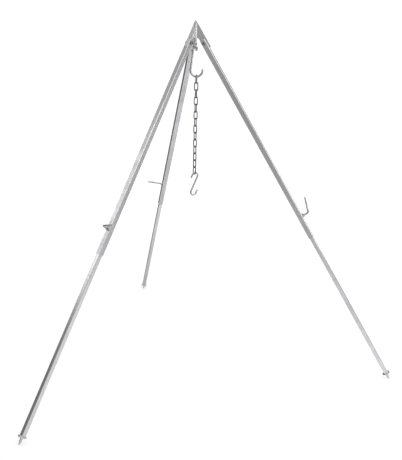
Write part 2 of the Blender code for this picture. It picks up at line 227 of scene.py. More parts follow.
CAMERA_RIGHT, CAMERA_AHEAD = build_camera()
UP = Vector((0, 0, 1))


def node(tree, kind, inputs=None, **settings):
    """Add a node, set its options, and set or link its inputs."""
    made = tree.nodes.new(kind)
    for name, value in settings.items():
        setattr(made, name, value)
    for key, value in (inputs or {}).items():
        if isinstance(value, bpy.types.NodeSocket):
            tree.links.new(value, made.inputs[key])
        else:
            made.inputs[key].default_value = value
    return made


def maths(tree, operation, *values, clamp=False):
    """The result of a Math node on these values."""
    made = node(tree, "ShaderNodeMath", dict(enumerate(values)), operation=operation, use_clamp=clamp)
    return made.outputs[0]


def vector_maths(tree, operation, *values):
    """The result of a Vector Math node on these vectors."""
    made = node(tree, "ShaderNodeVectorMath", dict(enumerate(values)), operation=operation)
    return made.outputs["Value" if operation in ("DISTANCE", "DOT_PRODUCT") else "Vector"]


def spread(tree, value, low, high, to_low=0.0, to_high=1.0):
    """Map a value from one range onto another, with soft ends."""
    inputs = {"Value": value, "From Min": low, "From Max": high, "To Min": to_low, "To Max": to_high}
    made = node(tree, "ShaderNodeMapRange", inputs, interpolation_type="SMOOTHSTEP")
    return made.outputs["Result"]


def blended(tree, amount, one, other):
    """Mix two colours by a mask."""
    made = node(tree, "ShaderNodeMix", {0: amount, 6: one, 7: other}, data_type="RGBA")
    return made.outputs[2]


def grey(value, warmth=0.0):
    """A grey with a trace of blue in it, or warmer."""
    return (value * (1 + warmth), value, value * (1 - warmth) * 1.015, 1)


def area_light(name, place, aim, size, power):
    """A round soft light, turned to its aim."""
    data = bpy.data.lights.new(name, "AREA")
    data.shape = "DISK"
    data.size = size
    data.energy = power
    lamp = bpy.data.objects.new(name, data)
    lamp.location = place
    lamp.rotation_euler = (Vector(aim) - Vector(place)).to_track_quat("-Z", "Y").to_euler()
    bpy.context.scene.collection.objects.link(lamp)


def camera_way(right, ahead, above):
    """A step to the camera's right, ahead of it along the ground, and up."""
    return CAMERA_RIGHT * right + CAMERA_AHEAD * ahead + UP * above


def build_floor():
    """A floor that its own glow keeps white for the camera, with painted shade in the colour the metal
    reflects: darker far off, away from the camera and under the head.
    """
    mesh = bpy.data.meshes.new("floor")
    sides = ((-1, -1), (1, -1), (1, 1), (-1, 1))
    mesh.from_pydata([(x * FLOOR_REACH, y * FLOOR_REACH, -FLOOR_BELOW) for x, y in sides], [], [(0, 1, 2, 3)])
    floor = bpy.data.objects.new("floor", mesh)
    bpy.context.scene.collection.objects.link(floor)
    paper = bpy.data.materials.new("white_paper")
    paper.use_nodes = True
    tree = paper.node_tree
    shader = tree.nodes["Principled BSDF"]
    shader.inputs["Roughness"].default_value = 0.9
    shader.inputs["Emission Color"].default_value = (1, 1, 1, 1)
    direct = node(tree, "ShaderNodeLightPath").outputs["Is Camera Ray"]
    spot = node(tree, "ShaderNodeTexCoord").outputs["Object"]
    away = vector_maths(tree, "DISTANCE", spot, (AXIS.x, AXIS.y, 0))
    behind = vector_maths(tree, "DOT_PRODUCT", spot, CAMERA_AHEAD)
    glow = maths(tree, "MULTIPLY", direct, spread(tree, away, *FLOOR_GLOW))
    tree.links.new(glow, shader.inputs["Emission Strength"])
    # Painted shade and painted shadow: the reflected floor colour fades outwards, away from the camera and
    # under the head
    painted_light = maths(tree, "MULTIPLY", spread(tree, away, *PAINTED_SHADE_OUTWARDS), spread(tree, behind, *PAINTED_SHADE_BEHIND))
    painted_light = maths(tree, "MULTIPLY", painted_light, spread(tree, away, *PAINTED_SHADOW_UNDER_HEAD))
    painted_shade_colour = blended(tree, painted_light, grey(0), grey(FLOOR_REFLECTED))
    tree.links.new(blended(tree, direct, painted_shade_colour, grey(FLOOR_SEEN)), shader.inputs["Base Color"])
    mesh.materials.append(paper)


def build_surround():
    """White to the camera. As light, brighter above and on the camera's side than low down and behind."""
    world = bpy.data.worlds.new("studio")
    bpy.context.scene.world = world
    world.use_nodes = True
    tree = world.node_tree
    tree.nodes.clear()
    ways = node(tree, "ShaderNodeTexCoord").outputs["Generated"]
    facing = vector_maths(tree, "DOT_PRODUCT", ways, camera_way(*BRIGHT_SIDE).normalized())
    level = spread(tree, facing, *SURROUND_LIGHT)
    soft = node(tree, "ShaderNodeBackground", {"Color": (1, 1, 1, 1), "Strength": level})
    white = node(tree, "ShaderNodeBackground", {"Color": (1, 1, 1, 1), "Strength": SURROUND_SEEN})
    seen = node(tree, "ShaderNodeLightPath").outputs["Is Camera Ray"]
    mixed = node(tree, "ShaderNodeMixShader", {0: seen, 1: soft.outputs[0], 2: white.outputs[0]})
    node(tree, "ShaderNodeOutputWorld", {"Surface": mixed.outputs[0]})


def build_studio():
    """A white floor, a white surround, and soft lights on the right, on the left, in front and above."""
    bpy.context.scene.view_settings.view_transform = "Standard"
    build_floor()
    build_surround()
    middle = Vector((AXIS.x, AXIS.y, MIDDLE_HEIGHT))
    for name, (right, ahead, above, aim, size, power) in LIGHTS.items():
        area_light(name, middle + camera_way(right, ahead, above), middle + UP * aim, size, power)


# Finishes: shared effects, each a node group with its own inputs and outputs


def effect(name, inputs, outputs):
    """A shader node group with these named sockets. Inputs are (name, kind, value), outputs (name, kind)."""
    group = bpy.data.node_groups.new(name, "ShaderNodeTree")
    kinds = {"value": "NodeSocketFloat", "vector": "NodeSocketVector", "colour": "NodeSocketColor"}
    for title, kind, value in inputs:
        socket = group.interface.new_socket(title, in_out="INPUT", socket_type=kinds[kind])
        if value is not None:
            socket.default_value = value
    for title, kind in outputs:
        group.interface.new_socket(title, in_out="OUTPUT", socket_type=kinds[kind])
    return group, group.nodes.new("NodeGroupInput").outputs, group.nodes.new("NodeGroupOutput").inputs


def zinc_crystals():
    """The frosted crystals of a hot-dipped zinc coat, each a little lighter or darker than the next."""
    inputs = [("Place", "vector", None), ("Crystals per metre", "value", 90.0), ("Wander", "value", 0.004)]
    outputs = [("Shade", "value"), ("Border", "value"), ("Height", "value")]
    group, given, out = effect("zinc_crystals", inputs, outputs)
    wander = node(group, "ShaderNodeTexNoise", {"Vector": given["Place"], "Scale": 60.0, "Detail": 3.0})
    offset = vector_maths(group, "SUBTRACT", wander.outputs["Color"], (0.5, 0.5, 0.5))
    pushed = node(group, "ShaderNodeVectorMath", {0: offset, "Scale": given["Wander"]}, operation="SCALE")
    place = vector_maths(group, "ADD", given["Place"], pushed.outputs[0])
    cells = {"Vector": place, "Scale": given["Crystals per metre"]}
    tone = node(group, "ShaderNodeTexVoronoi", cells)
    border = node(group, "ShaderNodeTexVoronoi", cells, feature="DISTANCE_TO_EDGE")
    split = node(group, "ShaderNodeSeparateColor", {0: tone.outputs["Color"]})
    frost = node(group, "ShaderNodeTexNoise", {"Vector": given["Place"], "Scale": 900.0, "Detail": 4.0})
    frosted = maths(group, "MULTIPLY_ADD", frost.outputs[0], 0.35, split.outputs[0])
    group.links.new(maths(group, "MULTIPLY", frosted, 0.8, clamp=True), out["Shade"])
    group.links.new(spread(group, border.outputs["Distance"], 0.0, 0.09, 1.0, 0.0), out["Border"])
    grain = maths(group, "MULTIPLY_ADD", frost.outputs[0], 0.5, split.outputs[1])
    group.links.new(grain, out["Height"])
    return group


def long_streaks():
    """Faint runs and rub lines along the piece's own length."""
    densities = [("Across per metre", "value", 160.0), ("Along per metre", "value", 2.5)]
    outputs = [("Runs", "value"), ("Scratches", "value")]
    group, given, out = effect("long_streaks", [("Place", "vector", None), *densities], outputs)
    across, along = given["Across per metre"], given["Along per metre"]
    stretch = node(group, "ShaderNodeCombineXYZ", {0: across, 1: across, 2: along}).outputs[0]
    drawn = vector_maths(group, "MULTIPLY", given["Place"], stretch)
    noise = {"Vector": drawn, "Scale": 1.0, "Detail": 5.0, "Roughness": 0.6}
    runs = node(group, "ShaderNodeTexNoise", noise)
    group.links.new(spread(group, runs.outputs[0], 0.32, 0.68), out["Runs"])
    finer = vector_maths(group, "MULTIPLY", drawn, (9.0, 9.0, 4.0))
    lines = node(group, "ShaderNodeTexNoise", {"Vector": finer, "Scale": 1.0, "Detail": 2.0})
    group.links.new(spread(group, lines.outputs[0], 0.60, 0.68), out["Scratches"])
    return group


def dull_clouds():
    """Broad dull and bright patches, as where zinc has weathered or been handled."""
    inputs = [("Place", "vector", None), ("Patches per metre", "value", 9.0)]
    group, given, out = effect("dull_clouds", inputs, [("Cloud", "value"), ("Speckle", "value")])
    cloud = node(group, "ShaderNodeTexNoise", {
        "Vector": given["Place"], "Scale": given["Patches per metre"], "Detail": 4.0, "Distortion": 0.6,
    })
    group.links.new(spread(group, cloud.outputs[0], 0.3, 0.7), out["Cloud"])
    specks = node(group, "ShaderNodeTexNoise", {"Vector": given["Place"], "Scale": 420.0, "Detail": 3.0})
    group.links.new(spread(group, specks.outputs[0], 0.62, 0.72), out["Speckle"])
    return group


def corner_rub():
    """Where the long corners of a square tube have been rubbed bright. Z runs along the tube."""
    inputs = [("Place", "vector", None), ("Side", "value", UPPER_SIDE)]
    group, given, out = effect("corner_rub", inputs, [("Rub", "value")])
    parts = node(group, "ShaderNodeSeparateXYZ", {0: vector_maths(group, "ABSOLUTE", given["Place"])})
    reach = maths(group, "DIVIDE", maths(group, "ADD", parts.outputs[0], parts.outputs[1]), given["Side"])
    broken = node(group, "ShaderNodeTexNoise", {"Vector": given["Place"], "Scale": 55.0, "Detail": 5.0})
    worn = maths(group, "MULTIPLY_ADD", broken.outputs[0], 0.16, reach)
    group.links.new(spread(group, worn, 0.90, 1.04), out["Rub"])
    return group


def heat_tint():
    """Darker and paler grey patches, a touch blue or warm, and the fine grain of a zinc-coated weld bead."""
    outputs = [("Tint", "colour"), ("Grain", "value")]
    group, given, out = effect("heat_tint", [("Place", "vector", None)], outputs)
    patch = node(group, "ShaderNodeTexNoise", {"Vector": given["Place"], "Scale": 140.0, "Detail": 4.0})
    ramp = node(group, "ShaderNodeValToRGB", {0: patch.outputs[0]})
    colours = [
        (0.30, (0.46, 0.46, 0.48, 1)),
        (0.45, (0.68, 0.67, 0.65, 1)),
        (0.58, (0.80, 0.80, 0.81, 1)),
    ]
    while len(ramp.color_ramp.elements) < len(colours):
        ramp.color_ramp.elements.new(0.5)
    for element, (position, colour) in zip(ramp.color_ramp.elements, colours):
        element.position = position
        element.color = colour
    grain = node(group, "ShaderNodeTexNoise", {"Vector": given["Place"], "Scale": 1500.0, "Detail": 3.0})
    group.links.new(ramp.outputs[0], out["Tint"])
    group.links.new(grain.outputs[0], out["Grain"])
    return group


EFFECT_BUILDERS = (zinc_crystals, long_streaks, dull_clouds, corner_rub, heat_tint)
EFFECTS = {build.__name__: build() for build in EFFECT_BUILDERS}


class Finish:
    """A metal in the making: its tree, its Principled BSDF, and the piece's own coordinates."""

    def __init__(self, name):
        self.material = bpy.data.materials.new(name)
        self.material.use_nodes = True
        self.tree = self.material.node_tree
        self.shader = self.tree.nodes["Principled BSDF"]
        self.shader.inputs["Metallic"].default_value = 1.0
        self.place = node(self.tree, "ShaderNodeAttribute", attribute_name="place").outputs["Vector"]

    def add(self, name, **values):
        """Add one of the shared effects, with its own values."""
        made = node(self.tree, "ShaderNodeGroup", node_tree=EFFECTS[name])
        self.tree.links.new(self.place, made.inputs["Place"])
        for title, value in values.items():
            made.inputs[title.replace("_", " ")].default_value = value
        return made.outputs

    def colour(self, socket):
        self.tree.links.new(socket, self.shader.inputs["Base Color"])

    def roughness(self, socket):
        self.tree.links.new(socket, self.shader.inputs["Roughness"])

    def raised(self, height, distance, strength, over=None):
        """Bump the surface, over an earlier bump where one is given."""
        inputs = {"Height": height, "Distance": distance, "Strength": strength}
        if over:
            inputs["Normal"] = over
        bump = node(self.tree, "ShaderNodeBump", inputs)
        self.tree.links.new(bump.outputs[0], self.shader.inputs["Normal"])
        return bump.outputs[0]


def galvanised(name, side, light, dark, rough, streak_contrast=0.35):
    """Hot-dipped zinc on square tube and plate: faint crystals, long runs, dull clouds and rubbed corners."""
    finish = Finish(name)
    tree = finish.tree
    crystals = finish.add("zinc_crystals", Crystals_per_metre=85.0)
    streaks = finish.add("long_streaks")
    clouds = finish.add("dull_clouds")
    rub = finish.add("corner_rub", Side=side)
    weathered = maths(tree, "MULTIPLY", clouds["Cloud"], 0.35)
    tone = maths(tree, "MULTIPLY_ADD", crystals["Shade"], 0.35, weathered)
    tone = maths(tree, "MULTIPLY_ADD", streaks["Runs"], streak_contrast, tone, clamp=True)
    zinc = blended(tree, tone, grey(dark), grey(light))
    zinc = blended(tree, maths(tree, "MULTIPLY", crystals["Border"], 0.12), zinc, grey(dark * 0.9))
    zinc = blended(tree, maths(tree, "MULTIPLY", clouds["Speckle"], 0.25), zinc, grey(dark * 0.7, 0.02))
    zinc = blended(tree, maths(tree, "MULTIPLY", streaks["Scratches"], 0.3), zinc, grey(light * 1.08))
    finish.colour(blended(tree, maths(tree, "MULTIPLY", rub["Rub"], 0.6), zinc, grey(0.86)))
    matt = maths(tree, "MULTIPLY_ADD", tone, -0.14, rough + 0.09)
    matt = maths(tree, "MULTIPLY_ADD", rub["Rub"], -0.12, matt)
    finish.roughness(maths(tree, "MULTIPLY_ADD", streaks["Scratches"], -0.05, matt, clamp=True))
    coarse = finish.raised(crystals["Height"], 0.00005, 0.2)
    finish.raised(streaks["Scratches"], 0.00002, 0.25, over=coarse)
    return finish.material


def plated(name, light, dark, rough, warmth=0.0):
    """Zinc plate on turned and bent parts, with fine rings, grime and rubbed high spots."""
    finish = Finish(name)
    tree = finish.tree
    streaks = finish.add("long_streaks", Across_per_metre=420.0, Along_per_metre=160.0)
    clouds = finish.add("dull_clouds", Patches_per_metre=90.0)
    rings = maths(tree, "MULTIPLY", streaks["Runs"], 0.4)
    tone = maths(tree, "MULTIPLY_ADD", clouds["Cloud"], 0.6, rings, clamp=True)
    zinc = blended(tree, tone, grey(dark, warmth), grey(light, warmth / 2))
    zinc = blended(tree, maths(tree, "MULTIPLY", clouds["Speckle"], 0.4), zinc, grey(dark * 0.6, 0.04))
    finish.colour(blended(tree, maths(tree, "MULTIPLY", streaks["Scratches"], 0.35), zinc, grey(light * 1.1)))
    finish.roughness(maths(tree, "MULTIPLY_ADD", tone, -0.16, rough + 0.08, clamp=True))
    coarse = finish.raised(clouds["Cloud"], 0.0001, 0.3)
    finish.raised(streaks["Runs"], 0.00003, 0.3, over=coarse)
    return finish.material


def welded():
    """A zinc-coated weld bead, rougher and more mottled than the tube."""
    finish = Finish("weld_metal")
    tint = finish.add("heat_tint")
    clouds = finish.add("dull_clouds", Patches_per_metre=60.0)
    dark = maths(finish.tree, "MULTIPLY", clouds["Cloud"], 0.4)
    finish.colour(blended(finish.tree, dark, tint["Tint"], grey(0.42)))
    finish.roughness(maths(finish.tree, "MULTIPLY_ADD", tint["Grain"], 0.2, 0.3, clamp=True))
    finish.raised(tint["Grain"], 0.00005, 0.3)
    return finish.material


NO_RUB = 0.6  # a side too wide for its corners' rub to show
UPPER_ZINC = galvanised("galvanised_upper_tube", UPPER_SIDE, light=0.74, dark=0.52, rough=0.34)
LOWER_ZINC = galvanised("galvanised_lower_tube", LOWER_SIDE, 0.78, 0.58, 0.28, streak_contrast=0.6)
PLATE_ZINC = galvanised("galvanised_plate", NO_RUB, 0.78, 0.60, 0.30, streak_contrast=0.12)
# The post's zinc is paler than the plate's: partly its own zinc, partly a painted highlight down the middle
# of the head
POST_ZINC_PAINTED_HIGHLIGHT = galvanised("galvanised_post_painted_highlight", NO_RUB, 0.88, 0.72, 0.30, streak_contrast=0.12)
BOLT_ZINC = plated("zinc_plated_bolts", light=0.46, dark=0.24, rough=0.24, warmth=0.02)
SCREW_ZINC = plated("zinc_plated_screws", 0.62, 0.40, 0.26, 0.01)
BAR_ZINC = plated("zinc_plated_bar", 0.60, 0.38, 0.28, 0.01)
CHAIN_ZINC = plated("zinc_plated_chain", 0.34, 0.14, 0.28)
WELD = welded()


# Solids in mesh code


def mesh_from(name, model):
    """Save a bmesh as a mesh, and free it."""
    mesh = bpy.data.meshes.new(name)
    model.to_mesh(mesh)
    model.free()
    return mesh


def loft(name, loops, closed=False):
    """A solid skinned over loops of points, with flat ends, or closed from the last loop to the first."""
    model = bmesh.new()
    rings = [[model.verts.new(p) for p in loop] for loop in loops]
    pairs = list(zip(rings, rings[1:]))
    if closed:
        pairs.append((rings[-1], rings[0]))
    else:
        model.faces.new(rings[0])
        model.faces.new(rings[-1])
    for one, other in pairs:
        for i in range(len(one)):
            model.faces.new((one[i - 1], one[i], other[i], other[i - 1]))
    bmesh.ops.recalc_face_normals(model, faces=model.faces)
    return mesh_from(name, model)


def ring(radius, height, sides=ROUND_SIDES):
    """Points round a circle about Z."""
    return [(radius * cos(tau * i / sides), radius * sin(tau * i / sides), height) for i in range(sides)]


def turned(name, profile, closed=False):
    """A solid turned about Z from (radius, height) points."""
    return loft(name, [ring(radius, height) for radius, height in profile], closed)


def hex_ring(flats, limit, height):
    """A hexagon cut back to a circle of this radius, as by a chamfering cone."""
    points = []
    for i in range(ROUND_SIDES):
        angle = tau * i / ROUND_SIDES
        from_flat = (angle + tau / 12) % (tau / 6) - tau / 12
        reach = min(flats / 2 / cos(from_flat), limit)
        points.append((reach * cos(angle), reach * sin(angle), height))
    return points


def hex_side(flats, low, high, ends):
    """Rings up the outside of a hexagon, with either end or both chamfered at 30 degrees."""
    face = flats / 2 * HEX_FACE_SHARE
    corner = flats / 2 / cos(tau / 12)
    depth = (corner - face) * HEX_CHAMFER_SLOPE
    steps = 6
    climb = [(face + (corner - face) * i / steps, depth * i / steps) for i in range(steps + 1)]
    square_end = [(1, 0)]
    first = [hex_ring(flats, limit, low + up) for limit, up in (climb if ends[0] else square_end)]
    last = [hex_ring(flats, limit, high - up) for limit, up in reversed(climb if ends[1] else square_end)]
    return first + last


def hex_nut(name, flats, bore, low, high, ends=(True, True)):
    """A chamfered nut with a countersunk bore."""
    wide = bore + NUT_SINK
    inside = [(wide, high), (bore, high - NUT_SINK), (bore, low + NUT_SINK), (wide, low)]
    inside = [ring(radius, height) for radius, height in inside]
    return loft(name, hex_side(flats, low, high, ends) + inside, closed=True)


def joined(name, meshes):
    """One mesh from several."""
    model = bmesh.new()
    for mesh in meshes:
        model.from_mesh(mesh)
    return mesh_from(name, model)


# Paths, swept by geometry nodes


def arc(centre, radius, start, end, step=ARC_STEP):
    """Points along a circular arc, both ends included."""
    steps = max(2, round(abs(end - start) / step))
    angles = (start + (end - start) * i / steps for i in range(steps + 1))
    return [Vector(centre) + radius * Vector((cos(a), sin(a))) for a in angles]


def upright(path):
    """Stand a flat path in the XZ plane."""
    return [Vector((p.x, 0, p.y)) for p in path]


def without_repeats(path, closed):
    """A path without the points that fall on the one before."""
    kept = [p for i, p in enumerate(path) if i == 0 or (p - path[i - 1]).length > GAP / 2]
    if closed and (kept[0] - kept[-1]).length < GAP / 2:
        kept.pop()
    return kept


def round_ended(path, radius):
    """A path and the bar's thickness at each point, with a domed tip at both ends."""
    lengths = [0.0]
    for one, other in zip(path, path[1:]):
        lengths.append(lengths[-1] + (other - one).length)
    total = lengths[-1]
    tips = [share * radius for share in (0.0, 0.06, 0.18, 0.36, 0.6, 0.85)]
    between = [length for length in lengths if radius < length < total - radius]
    wanted = sorted({round(length, 7) for length in (*tips, *between, *(total - tip for tip in tips))})
    points, girths = [], []
    for length in wanted:
        i = max(k for k in range(len(lengths) - 1) if lengths[k] <= length + 1e-9)
        share = (length - lengths[i]) / (lengths[i + 1] - lengths[i])
        points.append(path[i].lerp(path[i + 1], share))
        from_end = max(0.0, min(1.0, min(length, total - length) / radius))
        girths.append(radius * max(TIP_GIRTH, sqrt(1 - (1 - from_end) ** 2)))
    return points, girths


def evaluated(carrier):
    """The plain mesh that an object's modifiers make. The object goes."""
    bpy.context.view_layer.update()
    made = carrier.evaluated_get(bpy.context.evaluated_depsgraph_get())
    result = bpy.data.meshes.new_from_object(made)
    bpy.data.objects.remove(carrier)
    return result


def grown(name, points, girths, tree, closed=False, **sizes):
    """Run a geometry-node tree over a path, and return the plain mesh that it makes."""
    mesh = bpy.data.meshes.new(name)
    edges = [(i, i + 1) for i in range(len(points) - 1)]
    if closed:
        edges.append((len(points) - 1, 0))
    mesh.from_pydata(points, edges, [])
    girth = mesh.attributes.new("girth", "FLOAT", "POINT")
    girth.data.foreach_set("value", girths)
    carrier = bpy.data.objects.new(name, mesh)
    bpy.context.scene.collection.objects.link(carrier)
    modifier = carrier.modifiers.new("grown", "NODES")
    modifier.node_group = tree
    sockets = {item.name: item.identifier for item in tree.interface.items_tree if item.in_out == "INPUT"}
    for title, value in sizes.items():
        modifier[sockets[title.replace("_", " ")]] = value
    return evaluated(carrier)


def geometry_tree(name, inputs):
    """A geometry-node tree that takes a path and these named sizes."""
    tree = bpy.data.node_groups.new(name, "GeometryNodeTree")
    tree.interface.new_socket("Path", in_out="INPUT", socket_type="NodeSocketGeometry")
    kinds = {float: "NodeSocketFloat", int: "NodeSocketInt"}
    for title, value in inputs:
        if value is None:
            tree.interface.new_socket(title, in_out="INPUT", socket_type="NodeSocketMaterial")
        else:
            socket = tree.interface.new_socket(title, in_out="INPUT", socket_type=kinds[type(value)])
            socket.default_value = value
    tree.interface.new_socket("Piece", in_out="OUTPUT", socket_type="NodeSocketGeometry")
    return tree, tree.nodes.new("NodeGroupInput").outputs


def end_tree(tree, geometry, material):
    """Smooth shading, plain geometry and its material, as every tree ends."""
    smooth = node(tree, "GeometryNodeSetShadeSmooth", {"Geometry": geometry})
    plain = node(tree, "GeometryNodeRealizeInstances", {"Geometry": smooth.outputs[0]})
    painted = node(tree, "GeometryNodeSetMaterial", {"Geometry": plain.outputs[0], "Material": material})
    tree.links.new(painted.outputs[0], tree.nodes.new("NodeGroupOutput").inputs[0])
    return tree


def swept(tree, curve, sides, radius, scale=1.0):
    """A round section run along a curve, with its ends closed."""
    outline = node(tree, "GeometryNodeCurvePrimitiveCircle", {"Resolution": sides, "Radius": radius})
    sweep = {"Curve": curve, "Profile Curve": outline.outputs[0], "Scale": scale, "Fill Caps": True}
    return node(tree, "GeometryNodeCurveToMesh", sweep).outputs[0]


def bar_tree():
    """A round bar along a path, as thick at each point as its girth says."""
    tree, given = geometry_tree("bar_along_path", [("Sides", 24), ("Material", None)])
    curve = node(tree, "GeometryNodeMeshToCurve", {"Mesh": given["Path"]}).outputs[0]
    girth = node(tree, "GeometryNodeInputNamedAttribute", {"Name": "girth"}, data_type="FLOAT").outputs[0]
    return end_tree(tree, swept(tree, curve, given["Sides"], 1.0, girth), given["Material"])


def bead_tree():
    """A weld bead along a path: overlapping ripples of uneven size, half sunk in the corner that it fills."""
    shape = [("Ripple spacing", 0.002), ("Ripple depth", 0.16), ("Unevenness", 0.22), ("Seed", 1.0)]
    tree, given = geometry_tree("weld_bead", [*shape, ("Material", None)])
    curve = node(tree, "GeometryNodeMeshToCurve", {"Mesh": given["Path"]})
    step = maths(tree, "MULTIPLY", given["Ripple spacing"], 0.125)
    even = {"Curve": curve.outputs[0], "Length": step}
    even = node(tree, "GeometryNodeResampleCurve", even, mode="LENGTH").outputs[0]
    along = node(tree, "GeometryNodeSplineParameter").outputs["Length"]
    share = maths(tree, "FRACT", maths(tree, "DIVIDE", along, given["Ripple spacing"]))
    ripple = maths(tree, "SINE", maths(tree, "MULTIPLY", share, HALF_TURN))
    position = node(tree, "GeometryNodeInputPosition").outputs[0]
    shifted = vector_maths(tree, "ADD", position, given["Seed"])
    lumps = node(tree, "ShaderNodeTexNoise", {"Vector": shifted, "Scale": 260.0, "Detail": 2.0})
    uneven = maths(tree, "SUBTRACT", lumps.outputs[0], 0.5)
    uneven = maths(tree, "MULTIPLY", uneven, given["Unevenness"])
    swell = maths(tree, "MULTIPLY", ripple, given["Ripple depth"])
    swell = maths(tree, "ADD", maths(tree, "ADD", swell, uneven), 0.88)
    girth = node(tree, "GeometryNodeInputNamedAttribute", {"Name": "girth"}, data_type="FLOAT").outputs[0]
    radius = maths(tree, "MULTIPLY", girth, swell)
    return end_tree(tree, swept(tree, even, BEAD_SIDES, 1.0, radius), given["Material"])


def thread_tree():
    """A screw thread's four-sided ridge, wound round Z from the origin up. The path is not used."""
    shape = [("Core radius", 0.005), ("Pitch", 0.0015), ("Length", 0.02), ("Depth", 0.0006)]
    tree, given = geometry_tree("screw_thread", [*shape, ("Material", None)])
    turns = maths(tree, "DIVIDE", given["Length"], given["Pitch"])
    coil = node(tree, "GeometryNodeCurveSpiral", {
        "Resolution": 24, "Rotations": turns, "Start Radius": given["Core radius"],
        "End Radius": given["Core radius"], "Height": given["Length"],
    })
    return end_tree(tree, swept(tree, coil.outputs[0], 4, given["Depth"]), given["Material"])


BAR_TREE, BEAD_TREE, THREAD_TREE = bar_tree(), bead_tree(), thread_tree()


def bar_mesh(name, path, radius, material):
    """A round bar with domed ends."""
    points, girths = round_ended(path, radius)
    return grown(name, points, girths, BAR_TREE, Sides=BAR_SIDES, Material=material)


def closed_bar(name, loop, girths, sides, material):
    """A round bar whose ends meet."""
    return grown(name, loop, girths, BAR_TREE, True, Sides=sides, Material=material)


def bead(name, path, radius, seed, closed=True, spacing=0.002):
    """A weld bead along a path, with its own seed for its unevenness."""
    sizes = {"Ripple_spacing": spacing, "Seed": seed, "Material": WELD}
    return grown(name, path, [radius] * len(path), BEAD_TREE, closed, **sizes)


def thread(name, core, pitch, length, depth, material):
    """A thread's ridge from the origin up Z."""
    sizes = {"Core_radius": core, "Pitch": pitch, "Length": length, "Depth": depth, "Material": material}
    return grown(name, [Vector((0, 0, 0)), Vector((0, 0, length))], [core, core], THREAD_TREE, **sizes)


# Placing pieces


def keep_place(mesh, home_inverse):
    """Save each vertex's place in the piece's own frame, which its finish follows."""
    attribute = mesh.attributes.new("place", "FLOAT_VECTOR", "POINT")
    for vertex, item in zip(mesh.vertices, attribute.data):
        item.vector = home_inverse @ vertex.co


def settle(name, mesh, body, home, material, replaces=(), in_place=False):
    """Finish one piece: its place, its material, the body that carries it and the CAD nodes it stands for."""
    keep_place(mesh, home.inverted() if in_place else Matrix.Identity(4))
    if not in_place:
        mesh.transform(home)
    mesh.materials.clear()
    mesh.materials.append(material)
    if not in_place:
        mesh.shade_smooth()
        mesh.set_sharp_from_angle(angle=radians(35))
    mesh.name = name
    piece = bpy.data.objects.new(f"{name}_finished", mesh)
    bpy.context.scene.collection.objects.link(piece)
    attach(piece, body)
    if replaces:
        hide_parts(*replaces)


def eased(cad_name, width, segments=2):
    """A copy of a CAD node's mesh with its sharp edges rounded over and its flats kept flat."""
    model = bmesh.new()
    model.from_mesh(frame["nodes"][cad_name].data)
    bmesh.ops.remove_doubles(model, verts=model.verts, dist=1e-6)
    bmesh.ops.dissolve_limit(model, angle_limit=radians(0.5), verts=model.verts, edges=model.edges)
    mesh = mesh_from(cad_name, model)
    carrier = bpy.data.objects.new(cad_name, mesh)
    bpy.context.scene.collection.objects.link(carrier)
    bevel = carrier.modifiers.new("eased", "BEVEL")
    bevel.limit_method = "ANGLE"
    bevel.angle_limit = radians(50)
    bevel.width = width
    bevel.segments = segments
    flats = carrier.modifiers.new("flats", "WEIGHTED_NORMAL")
    flats.keep_sharp = True
    flats.weight = 100
    mesh.shade_smooth()
    mesh.set_sharp_from_angle(angle=radians(60))
    return evaluated(carrier)


def along_x(mesh):
    """Lay what stands on Z along X."""
    mesh.transform(Matrix.Rotation(QUARTER_TURN, 4, "Y"))
    return mesh


def along_y(mesh):
    """Lay what stands on Z along Y."""
    mesh.transform(Matrix.Rotation(-QUARTER_TURN, 4, "X"))
    return mesh


# Head


def head_post():
    """The post, with its foot eased."""
    edge = POST_EDGE
    return turned("post", [
        (POST_RADIUS - edge, POST_FOOT), (POST_RADIUS - edge / 3, POST_FOOT + edge / 3),
        (POST_RADIUS, POST_FOOT + edge), (POST_RADIUS, WING_TOP),
    ])


def head_cap():
    """The pointed cap on the post: a short rim, a straight slope and a blunt tip."""
    foot = WING_TOP + GAP
    rim, shoulder = 0.0014, CAP_HEIGHT - 0.0015
    taper = CAP_TIP_RADIUS * 1.6 - CAP_RADIUS
    slope = [(CAP_RADIUS - CAP_EDGE, foot), (CAP_RADIUS, foot + CAP_EDGE)]
    for share in (i / 8 for i in range(9)):
        slope.append((CAP_RADIUS + taper * share, foot + rim + (shoulder - rim) * share))
    slope += [(CAP_TIP_RADIUS * 1.3, foot + shoulder + 0.0009), (CAP_TIP_RADIUS * 0.6, foot + CAP_HEIGHT)]
    return turned("cap", slope)


def hanging_eye():
    """The ring under the post, that the hook hangs on."""
    loop = without_repeats(upright(arc((0, 0), EYE_RADIUS, 0, tau)), closed=True)
    return closed_bar("eye", loop, [EYE_WIRE_RADIUS] * len(loop), BAR_SIDES, BAR_ZINC)


def head_welds():
    """The beads on both sides of each fin, under the cap and round the hanging eye's root."""
    beads = []
    corner_radius = POST_RADIUS + 0.0006
    start, run = WING_FOOT + 0.002, WING_TOP - WING_FOOT - 0.004
    for n, azimuth in enumerate(LEG_AZIMUTHS):
        for side in (-1, 1):
            angle = azimuth + side * (asin(WING_THICKNESS / 2 / corner_radius) + BESIDE_WING)
            x, y = corner_radius * cos(angle), corner_radius * sin(angle)
            path = [Vector((x, y, start + run * i / 12)) for i in range(13)]
            beads.append(bead("corner", path, WING_BEAD, 2.0 * n + side, closed=False))
    round_cap = [Vector(p) for p in ring(CAP_RADIUS - CAP_EDGE, WING_TOP + GAP - 0.0002, 40)]
    beads.append(bead("cap", round_cap, CAP_BEAD, 9.0, spacing=0.0018))
    round_eye = [Vector(p) for p in ring(EYE_WIRE_RADIUS, POST_FOOT - 0.0006, 28)]
    beads.append(bead("eye", round_eye, EYE_BEAD, 11.0, spacing=0.0018))
    return joined("welds", beads)


